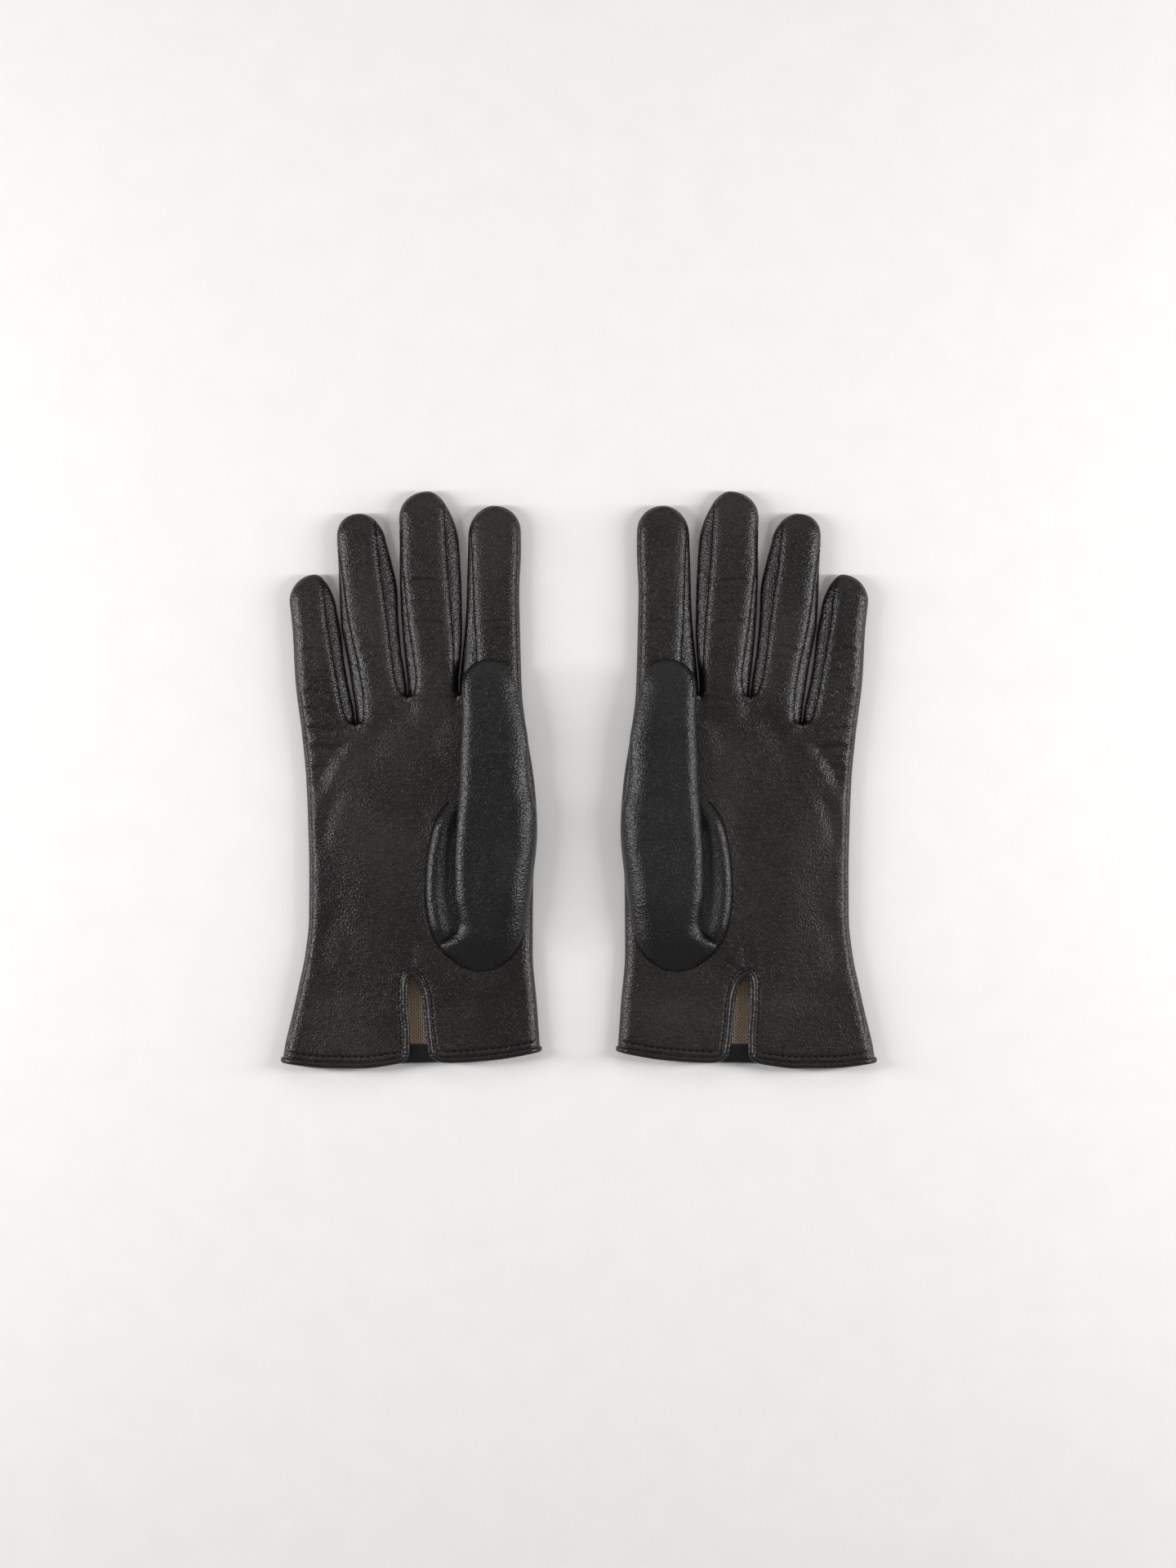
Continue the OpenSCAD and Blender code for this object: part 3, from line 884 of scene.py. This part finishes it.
# Outline of the thumb as (y, x) points, and its heights as (y, z) points
THUMB_LO = [
    (-79.6, 39), (-79.0, 35.5), (-77.2, 32), (-73.7, 27.7), (-66, 23.4), (-56, 21.1), (-43, 19.3),
    (-21, 17.3), (-14, 17.5), (-3, 20.0), (6, 20.9), (14.5, 21.0), (29, 23.5), (40, 26.6)]
THUMB_HI = [
    (-79.6, 42), (-79.1, 45.5), (-77.6, 49), (-73.4, 54.8), (-70.8, 57.4), (-69.0, 57.6),
    (-67.2, 55.6), (-65, 52.6), (-62.5, 50.6), (-59.6, 49.8), (-56, 50.3), (-48, 51.7), (-35, 51.9),
    (-17, 50.9), (-3, 49.7), (12, 49.3), (28, 48.6), (38, 48.9)]
THUMB_TIP = (49.9, 37.5)
THUMB_SHOULDER = 37.0
THUMB_SQUARE = 2.1
THUMB_SIDE = 11.4   # height of the thumb's tip
THUMB_BASE = -79.6
THUMB_CROWN = [
    (-79.6, 8.9), (-77, 10.4), (-72, 12.6), (-64, 14.6), (-50, 16.2), (-28, 16.9), (0, 16.6),
    (26, 15.9), (40, 15.2)]
THUMB_EDGE_LO = [
    (-79.6, 8.5), (-66, 8.2), (-56, 7.2), (-40, 6.6), (-24, 7.6), (-12, 10.0), (5, 11.2), (50, 11.4)]
THUMB_EDGE_HI = [
    (-79.6, 8.5), (-74, 9.0), (-70, 9.7), (-66, 10.5), (-60, 11.2), (-48, 11.9), (-20, 12.2), (50, 11.6)]
THUMB_UNDER = 9.5
THUMB_DENTS = [
    ((24, 14.5), (41, 16.0), 0.5, 0.16, 0.9),
    ((23, 8.4), (38, 9.4), -0.4, 0.14, 0.9),
    ((22, -12), (33, -8), 0.8, 0.18, 1.6),
    ((24, -33), (36, -24), 1.2, 0.45, 3.8),
    ((27, -52), (36, -66), -1.0, 0.30, 4.0),
    ((44, -20), (43, -50), 0.6, 0.25, 4.0),
]
# Seam of the thumb in the palm, and where the gusset's other edge goes under the thumb
GUSSET_SEAM = [
    (-72, 56.2), (-66, 60.4), (-56, 63.1), (-48, 63.8), (-40, 63.6), (-24, 61.5), (-14.4, 58.2),
    (-9, 53.5), (-7, 49.5)]


def thumb_edges(y):
    """Outside edges of the thumb at each y."""
    y = np.asarray(y, float)
    top, tip_x = THUMB_TIP
    lo, hi = curve(THUMB_LO, np.minimum(y, THUMB_SHOULDER)), curve(THUMB_HI, np.minimum(y, THUMB_SHOULDER))
    t = np.clip((y - THUMB_SHOULDER) / (top - THUMB_SHOULDER), 0, 1)
    narrow = np.maximum(np.maximum(1 - t**THUMB_SQUARE, 0) ** (1 / THUMB_SQUARE), TIP_LEFT)
    mid = (lo + hi) / 2
    centre = mid + (tip_x - mid) * t
    return centre + (lo - mid) * narrow, centre + (hi - mid) * narrow


def thumb_rows():
    """Rows from the thumb's base to its tip, closer together at both ends."""
    base = THUMB_BASE + 6 * (1 - np.cos(np.linspace(0, math.pi / 2, 14)))
    plain = np.arange(-73.4, THUMB_SHOULDER, 0.7)
    tip = THUMB_SHOULDER + (THUMB_TIP[0] - THUMB_SHOULDER) * np.sin(np.linspace(0, math.pi / 2, 28))
    return np.concatenate([base, plain, tip])


def thumb_top(x, y, lo, hi):
    """Height of the upper side of the thumb."""
    falls_from, n, lo_round, hi_round, base_round = 36, 2.2, 9.5, 5.0, 3.5
    t = np.clip((y - falls_from) / (THUMB_TIP[0] - falls_from), 0, 1)
    fall = np.maximum(1 - t**n, 0) ** (1 / n)
    edge_lo, edge_hi = curve(THUMB_EDGE_LO, y), curve(THUMB_EDGE_HI, y)
    zc = THUMB_SIDE + (curve(THUMB_CROWN, y) - THUMB_SIDE) * fall
    half = (hi - lo) / 2
    z = zc - (zc - edge_lo) * (1 - round_over(x - lo, np.minimum(lo_round, half)))
    hi_round = hi_round + base_round * smooth((-57 - y) / 9)
    z -= (zc - edge_hi) * (1 - round_over(hi - x, np.minimum(hi_round, half)))
    overrun, dent_end = 0.1, 0.4
    for a, b, bow, depth, width in THUMB_DENTS:
        u, d = along(x, y, a, b, bow)
        z -= smooth((u + overrun) / dent_end) * smooth((1 + overrun - u) / dent_end) * depth * bell(d, width)
    inside = smooth(np.minimum(x - lo, hi - x) / 4)
    return z + inside * (0.12 * rumple(x, y, 11, 9.1) + 0.04 * rumple(x, y, 4, 3.3))


def thumb_grid():
    """Closed rows of points round the thumb, over the top and back underneath."""
    rows = thumb_rows()
    lo, hi = (e[:, None] for e in thumb_edges(rows))
    across = ease_spaced(44)[None, :]
    x = lo + (hi - lo) * across
    y = rows[:, None] + 0 * x
    top = np.stack([x, y, thumb_top(x, y, lo + 0 * x, hi + 0 * x)], axis=2)
    back = ease_spaced(18)[None, 1:-1]
    xb = hi + (lo - hi) * back
    yb = rows[:, None] + 0 * xb
    edge = curve(THUMB_EDGE_HI, yb) + (curve(THUMB_EDGE_LO, yb) - curve(THUMB_EDGE_HI, yb)) * back
    under = np.minimum(THUMB_UNDER, edge - 0.2)
    fall = np.sqrt(np.clip((THUMB_TIP[0] - yb) / 9, 0, 1))
    zb = edge - (edge - under) * fall * np.sqrt(np.sin(math.pi * np.clip(back, 0, 1)))
    return np.concatenate([top, np.stack([xb, yb, zb], axis=2)], axis=1)


def blend_thumb(obj):
    """Bakes the piece's placement into its points."""
    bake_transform(obj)


def make_thumb(side):
    """The thumb's leather, its lining, its gusset and its seams."""
    grid = thumb_grid()
    stall = build("thumb_leather", [grid], side, "thumb_leather", closed=True)
    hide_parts(f"{side}_thumb_base", f"{side}_thumb_stall")
    blend_thumb(stall)
    middle = grid.mean(axis=1, keepdims=True)
    lining_share = np.array([0.88, 1.0, 0.70])
    inner = middle + (grid - middle) * lining_share
    inside = grid[:, 0, 1]
    keep = (inside > -60) & (inside < 44)
    lining = build("thumb_lining", [inner[keep]], side, "knit_lining", closed=True)
    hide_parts(f"{side}_thumb_lining")
    blend_thumb(lining)
    make_gusset(side)
    make_thumb_seams(side)


def make_gusset(side):
    """The rolled fold of leather between the palm's seam and the thumb."""
    roll_height, roll_width, under_thumb, least_width, sunk = 3.0, 3.2, 4.5, 3.0, 0.25
    rows = np.arange(-71.5, -7.2, 0.6)
    seam = curve(GUSSET_SEAM, rows)[:, None]
    hi = thumb_edges(rows)[1]
    inner = np.minimum(hi[:, None] - under_thumb, seam - least_width)
    s = (1 - np.cos(np.linspace(0, math.pi / 2, 31)))[None, :]
    x = seam + (inner - seam) * s
    y = rows[:, None] + 0 * x
    d = seam - x
    ends = smooth((rows + 73) / 13)[:, None] * smooth((-6.5 - rows) / 12)[:, None]
    roll = roll_height * round_over(d, roll_width) - 1.5 * smooth((d - 3.4) / 6)
    z = palm_height(x, y) - sunk + ends * roll + 0.10 * rumple(x, y, 5, 6.6) * round_over(d, 2)
    grid = np.stack([x, y, z], axis=2)[:, ::-1]
    gusset = build("thumb_gusset", [grid], side, "thumb_leather")
    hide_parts(f"{side}_thumb_gusset")
    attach(gusset, f"{side}_hand")


def rope(name, points, side, radius, material, flat=1.0):
    """A thin bead of leather or thread along a path."""
    p = np.array(points, float)
    t = unit_rows(np.gradient(p, axis=0))
    across = unit_rows(np.cross(t, UP))
    up = np.cross(across, t)
    verts, faces = sweep_tube(p, across, up, radius, radius * flat, 10)
    return finish_mesh(name, verts, faces, side, material)


def make_thumb_seams(side):
    """The seam that sets the thumb in the palm, and the short seam at the thumb's tip."""
    low = np.arange(-64, -79.5, -0.8)
    oval = [(x + 0.1, y) for x, y in zip(curve(THUMB_LO, low), low)]
    angle = np.linspace(0, 1, 14)[1:-1]
    oval += [(39 + 4 * a, -79.9 + 0.25 * (2 * a - 1) ** 2) for a in angle]
    up = np.arange(-79.3, -72.4, 0.6)
    oval += [(x, y) for x, y in zip(curve(THUMB_HI, up), up)]
    high = np.arange(-71.8, -9.0, 0.8)
    oval += [(x + 0.15, y) for x, y in zip(curve(GUSSET_SEAM, high), high)]
    path = np.array(oval)
    z = palm_height(path[:, 0], path[:, 1])
    seam = rope("thumb_palm_seam", np.column_stack([path, z]), side, 0.30, "thread", 0.8)
    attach(seam, f"{side}_hand")
    rows = np.arange(34.0, 48.6, 0.5)
    lo, hi = thumb_edges(rows)
    x = hi - 1.5 + 0.04 * (rows - 34)
    tip = np.column_stack([x, rows, thumb_top(x, rows, lo, hi) - 0.05])
    bead = rope("thumb_tip_seam", tip, side, 0.26, "thread")
    blend_thumb(bead)


def make_linings(side):
    """The knitted bag inside the hand, and a sleeve in each finger."""
    rows = np.concatenate([np.arange(-117.6, -84, 1.2), np.arange(-83.6, -78, 0.5),
                           np.arange(-77.5, Y_FINGERS, 2.5)])
    side_gap, top_share, back_share = 2.6, 0.74, 0.36
    tops, backs = [], []
    for finger in ORDER:
        for make, kept, shrink in ((palm_grid, tops, top_share), (back_grid, backs, back_share)):
            grid = make(finger, rows)
            y = grid[..., 1]
            middle = (curve(HAND_LO, y) + curve(HAND_HI, y)) / 2
            width = curve(HAND_HI, y) - curve(HAND_LO, y)
            grid[..., 0] = middle + (grid[..., 0] - middle) * (1 - side_gap / width)
            grid[..., 2] = Z_EDGE + (grid[..., 2] - Z_EDGE) * shrink
            kept.append(grid)
    lining = build("hand_lining", tops + backs, side, "knit_lining")
    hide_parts(f"{side}_hand_lining")
    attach(lining, f"{side}_hand")
    for finger in ORDER:
        make_finger_lining(side, finger)


def make_finger_lining(side, finger):
    """A closed sleeve of knit that stays clear of the seams round it."""
    below_tip, clear, clear_of_seam = 2.5, 2.0, 1.0
    rows = finger_rows(finger)
    rows = rows[(rows > 30) & (rows < FINGERS[finger]["tip"][0] - below_tip)][::2]
    lo = side_x(finger, "lo", rows)[:, None] + clear
    hi = side_x(finger, "hi", rows)[:, None] - clear
    t = np.linspace(0, 2 * math.pi, 33)[:-1][None, :]
    zc = crown(finger, rows)[:, None]
    z = 1.9 + (zc - 3.8) * (0.5 + 0.5 * np.sign(np.sin(t)) * np.abs(np.sin(t)) ** 0.6)
    upper = smooth((z - 2.2) / 3)
    lo = lo + upper * np.maximum(seam_x(finger, "lo", rows)[:, None] + clear_of_seam - lo, 0)
    hi = hi + upper * np.minimum(seam_x(finger, "hi", rows)[:, None] - clear_of_seam - hi, 0)
    lo, hi = np.minimum(lo, (lo + hi) / 2 - 0.3), np.maximum(hi, (lo + hi) / 2 + 0.3)
    x = (lo + hi) / 2 - (hi - lo) / 2 * np.cos(t) * 0.94
    grid = np.stack([x, rows[:, None] + 0 * x, z], axis=2)
    sleeve = build(f"{finger}_lining", [grid], side, "knit_lining", closed=True)
    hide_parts(f"{side}_{finger}_tip_lining")
    bend_with(sleeve)


def make_inner_facing(side):
    """The hem of the back, turned in over the end of the lining."""
    x = np.linspace(19.5, 119.5, 61)[None, :]
    v = np.linspace(0, 1, 9)[:, None]
    hem_gap, y_top, height, pad, side_rise = 1.4, -110.4, 2.95, 0.35, 1.2
    y = (curve(CUFF_EDGE, x) + hem_gap) * (1 - v) + y_top * v
    edge = np.minimum(x - curve(HAND_LO, y), curve(HAND_HI, y) - x)
    z = height + pad * np.sin(math.pi * np.clip(v, 0, 1)) ** 0.4 + side_rise * (1 - round_over(edge, 4.5))
    facing = build("inner_facing", [np.stack([x + 0 * y, y, z + 0 * x], axis=2)], side, "binding_leather")
    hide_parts(f"{side}_inner_facing")
    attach(facing, f"{side}_hand")


def soften(points, count):
    """Evens out a path by averaging each point with its neighbours, keeping its ends."""
    p = points.copy()
    for _ in range(count):
        p[1:-1] = (p[:-2] + 2 * p[1:-1] + p[2:]) / 4
    return p


def hem_line(grids):
    """Last row of the leather at the cuff, from the lo side to the hi side."""
    return np.concatenate([g[0] if g[0, 0, 0] < g[0, -1, 0] else g[0, ::-1] for g in grids])


def binding_path(vent_path):
    """Closed path of the binding, over the palm's hem and the vent and back along the back's hem."""
    hem_rows = np.array([Y_CUFF, Y_CUFF + 1])
    palm_lo = hem_line([palm_grid(f, hem_rows) for f in ("index", "middle")])
    palm_hi = hem_line([palm_grid(f, hem_rows) for f in ("ring", "little")])
    back = hem_line([back_grid(f, hem_rows) for f in ORDER])
    back[:, 2] += 0.75
    palm_lo[:, 2] -= 0.1
    half = len(back) // 2
    loop = np.concatenate([back[half::-1], palm_lo, vent_path, palm_hi, back[:half:-1]])
    return soften(resample(loop, 0.6), 5)


def binding_frame(loop):
    """Directions across and out of the binding: up on top of the palm, outward round the hem."""
    t = unit_rows(np.gradient(loop, axis=0))
    on_top = smooth((loop[:, 2] - 6.2) / 1.2)[:, None]
    middle = [70, 0, Z_EDGE]
    round_hem = np.cross(t, [0, 1.0, 0])
    round_hem *= np.sign(np.sum(round_hem * (loop - middle), axis=1, keepdims=True) + 1e-9)
    normal = unit_rows(on_top * UP + (1 - on_top) * round_hem)
    across = unit_rows(np.cross(normal, t))
    return across, np.cross(t, across)


def make_bindings(side):
    """The strips of leather rolled over the edge of the cuff and of the vent."""
    line = vent_line(0.5)
    vent_path = np.column_stack([line, palm_height(line[:, 0], line[:, 1])])
    loop = binding_path(vent_path)
    across, normal = binding_frame(loop)
    in_vent = (loop[:, 1] > -114.5) & (loop[:, 0] > 58) & (loop[:, 0] < 75) & (loop[:, 2] > 6)
    first, last = np.flatnonzero(in_vent)[[0, -1]]
    for name, part in (("vent_binding", slice(first, last + 1)),
                       ("cuff_binding_thumb_side", slice(0, first + 1)),
                       ("cuff_binding_little_side", slice(last, len(loop)))):
        verts, faces = sweep_tube(loop[part], across[part], normal[part], *BINDING, 18)
        strip = finish_mesh(name, verts, faces, side, "binding_leather")
        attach(strip, f"{side}_hand")
        if name == "vent_binding":
            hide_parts(f"{side}_vent_binding")
        if name == "cuff_binding_thumb_side":
            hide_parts(f"{side}_cuff_binding")
    return vent_path


def stitch_rows(name, paths, row, side):
    """Stitches along paths on the palm, all in one piece."""
    pitch, length, radius, lift = row
    verts, faces = [], []
    for points in paths:
        places, directions = even_steps(points, pitch)
        v, f = stitch_meshes(places + UP * lift, directions, np.tile(UP, (len(places), 1)), length, radius)
        faces += [tuple(i + len(verts) for i in face) for face in f]
        verts += v
    return finish_mesh(name, verts, faces, side, "thread", 0.0)


def make_hem_stitches(side, vent_path):
    """The row of stitches above the hem, on both sides of the vent, and the row round the vent."""
    rows = []
    for low, high in ((18.6, 57.2), (75.6, 119.5)):
        x = np.arange(low, high, 1.0)
        y = curve(CUFF_EDGE, x) + HEM_STITCHES
        rows.append(np.column_stack([x, y, palm_height(x, y)]))
    cuff = stitch_rows("cuff_stitches", rows, CUFF_ROW, side)
    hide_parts(f"{side}_cuff_stitches")
    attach(cuff, f"{side}_hand")
    t = unit_rows(np.gradient(vent_path, axis=0))
    out = np.cross(UP, t)
    row = soften(vent_path + out * VENT_STITCHES, 3)
    row[:, 2] = palm_height(row[:, 0], row[:, 1])
    vent = stitch_rows("vent_stitches", [row], VENT_ROW, side)
    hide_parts(f"{side}_vent_stitches")
    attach(vent, f"{side}_hand")


def seam_path(finger, side, inward):
    """Path on the palm leaf beside a finger's seam, from the fork to where the fourchette ends."""
    fork = fork_y(finger, side)
    rows = finger_rows(finger)
    rows = np.concatenate([[fork + 0.05], rows[rows > fork + 0.3]])
    lo, hi = strip_x(finger, "lo", rows), strip_x(finger, "hi", rows)
    edge = lo if side == "lo" else hi
    gap = np.abs(edge - side_x(finger, side, rows))
    least_gap, always_shown = 0.35, 8
    shows = (gap > least_gap) | (rows < fork + always_shown)
    edge, rows, lo, hi = edge[shows], rows[shows], lo[shows], hi[shows]
    path = np.column_stack([edge, rows, 0 * rows])
    t = unit_rows(np.gradient(path, axis=0))
    n = np.cross(UP, t)
    n *= -1 if side == "lo" else 1
    path = path + n * inward
    x = np.clip(path[:, 0], lo + 0.05, hi - 0.05)
    path[:, 2] = palm_side(finger, x, path[:, 1], lo, hi)
    return path


def make_finger_stitches(side, finger):
    """The stitches and the seams beside a finger's fourchettes."""
    edges = [edge for edge in ("lo", "hi") if fork_y(finger, edge)]
    rows = [seam_path(finger, edge, 0.75) for edge in edges]
    obj = stitch_rows(f"{finger}_seam_stitches", rows, FINGER_ROW, side)
    bend_with(obj)
    for edge in edges:
        line = seam_path(finger, edge, 0.10) - UP * 0.16
        name = f"{finger}_{'thumb' if edge == 'lo' else 'little'}_side_seam"
        bead = rope(name, line, side, 0.34, "thread", 0.8)
        bend_with(bead)


def make_side_seams(side):
    """The welt along the little finger's side, and the seam along the index finger's side."""
    rows = np.arange(-116.5, 37, 0.8)
    x = np.where(rows < 20, curve(HAND_HI, rows), side_x("little", "hi", rows))
    inside = x - WELT_INSET
    lo = strip_x("little", "lo", rows)
    z = palm_side("little", inside, rows, lo, x) - 0.05
    welt = rope("outer_seam_welt", np.column_stack([inside, rows, z]), side, 0.30, "side_leather", 1.1)
    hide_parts(f"{side}_outer_seam_welt")
    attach(welt, f"{side}_hand")
    rows = np.arange(24, 106, 0.7)
    lo, hi = strip_x("index", "lo", rows), strip_x("index", "hi", rows)
    x = lo + SIDE_SEAM_INSET
    z = palm_side("index", x, rows, lo, hi)
    seam = rope("thumb_side_seam", np.column_stack([x, rows, z]), side, 0.30, "side_leather")
    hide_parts(f"{side}_thumb_side_seam")
    bend_with(seam)


FOURCHETTE_NODES = {
    ("index", "hi"): ["index_middle_fourchette", "index_tip_fourchette"],
    ("middle", "hi"): ["middle_ring_fourchette", "middle_tip_fourchettes"],
    ("ring", "hi"): ["ring_little_fourchette", "ring_tip_fourchettes"],
    ("little", "lo"): ["little_tip_fourchette"],
}


def make_glove(side):
    make_palm(side)
    make_back(side)
    for finger in ORDER:
        make_finger(side, finger)
        make_finger_stitches(side, finger)
    make_thumb(side)
    make_linings(side)
    make_inner_facing(side)
    make_hem_stitches(side, make_bindings(side))
    make_side_seams(side)


# ---- Stage -------------------------------------------------------------------------------------

def area_light(name, place_at, aim, size, power):
    light = bpy.data.lights.new(name, "AREA")
    light.shape = "RECTANGLE"
    light.size, light.size_y = size
    light.energy = power
    obj = bpy.data.objects.new(name, light)
    obj.location = place_at
    obj.visible_camera = False
    obj.rotation_euler = (Vector(aim) - Vector(place_at)).to_track_quat("-Z", "Y").to_euler()
    bpy.context.scene.collection.objects.link(obj)


def make_floor():
    mesh = bpy.data.meshes.new("floor")
    s = 3.0
    mesh.from_pydata([(-s, -s, 0), (s, -s, 0), (s, s, 0), (-s, s, 0)], [], [(0, 1, 2, 3)])
    floor = bpy.data.objects.new("floor", mesh)
    bpy.context.scene.collection.objects.link(floor)
    tree, shader = new_material("floor", 0.85, 0.2)
    paper = texture(tree, "ShaderNodeTexNoise", place(tree), 60.0)
    pale = ramp(tree, paper.outputs["Fac"], [(0.3, (0.86, 0.855, 0.845)), (0.7, (0.88, 0.875, 0.865))])
    tree.links.new(pale, shader.inputs["Base Color"])
    mesh.materials.append(MATERIALS["floor"])


def make_stage():
    """A pale floor under soft light from both sides, from above the fingertips and all round."""
    make_floor()
    world = bpy.data.worlds.new("studio")
    world.use_nodes = True
    world.node_tree.nodes["Background"].inputs["Color"].default_value = (1.0, 0.99, 0.975, 1)
    world.node_tree.nodes["Background"].inputs["Strength"].default_value = 0.30
    bpy.context.scene.world = world
    bpy.context.scene.view_settings.view_transform = "Standard"
    for name, x in (("left_soft", -1), ("right_soft", 1)):
        area_light(name, (x * 0.85, 0.04, 0.50), (x * 0.06, 0, 0), (0.12, 0.80), 7.2)
    area_light("top_soft", (0.0, 0.9, 0.9), (0, 0, 0), (1.2, 0.5), 1.8)


def make_camera():
    """Straight above, as the pair is laid out, with the fingertips up in the picture."""
    distance, centre = 1.548, (0.0038, -0.0019)
    data = bpy.data.cameras.new("camera")
    data.lens = 85
    data.sensor_width = 36
    camera = bpy.data.objects.new("camera", data)
    camera.location = (centre[0], centre[1], distance)
    bpy.context.scene.collection.objects.link(camera)
    bpy.context.scene.camera = camera


make_camera()
make_materials()
make_stage()
for glove in SIDES:
    make_glove(glove)
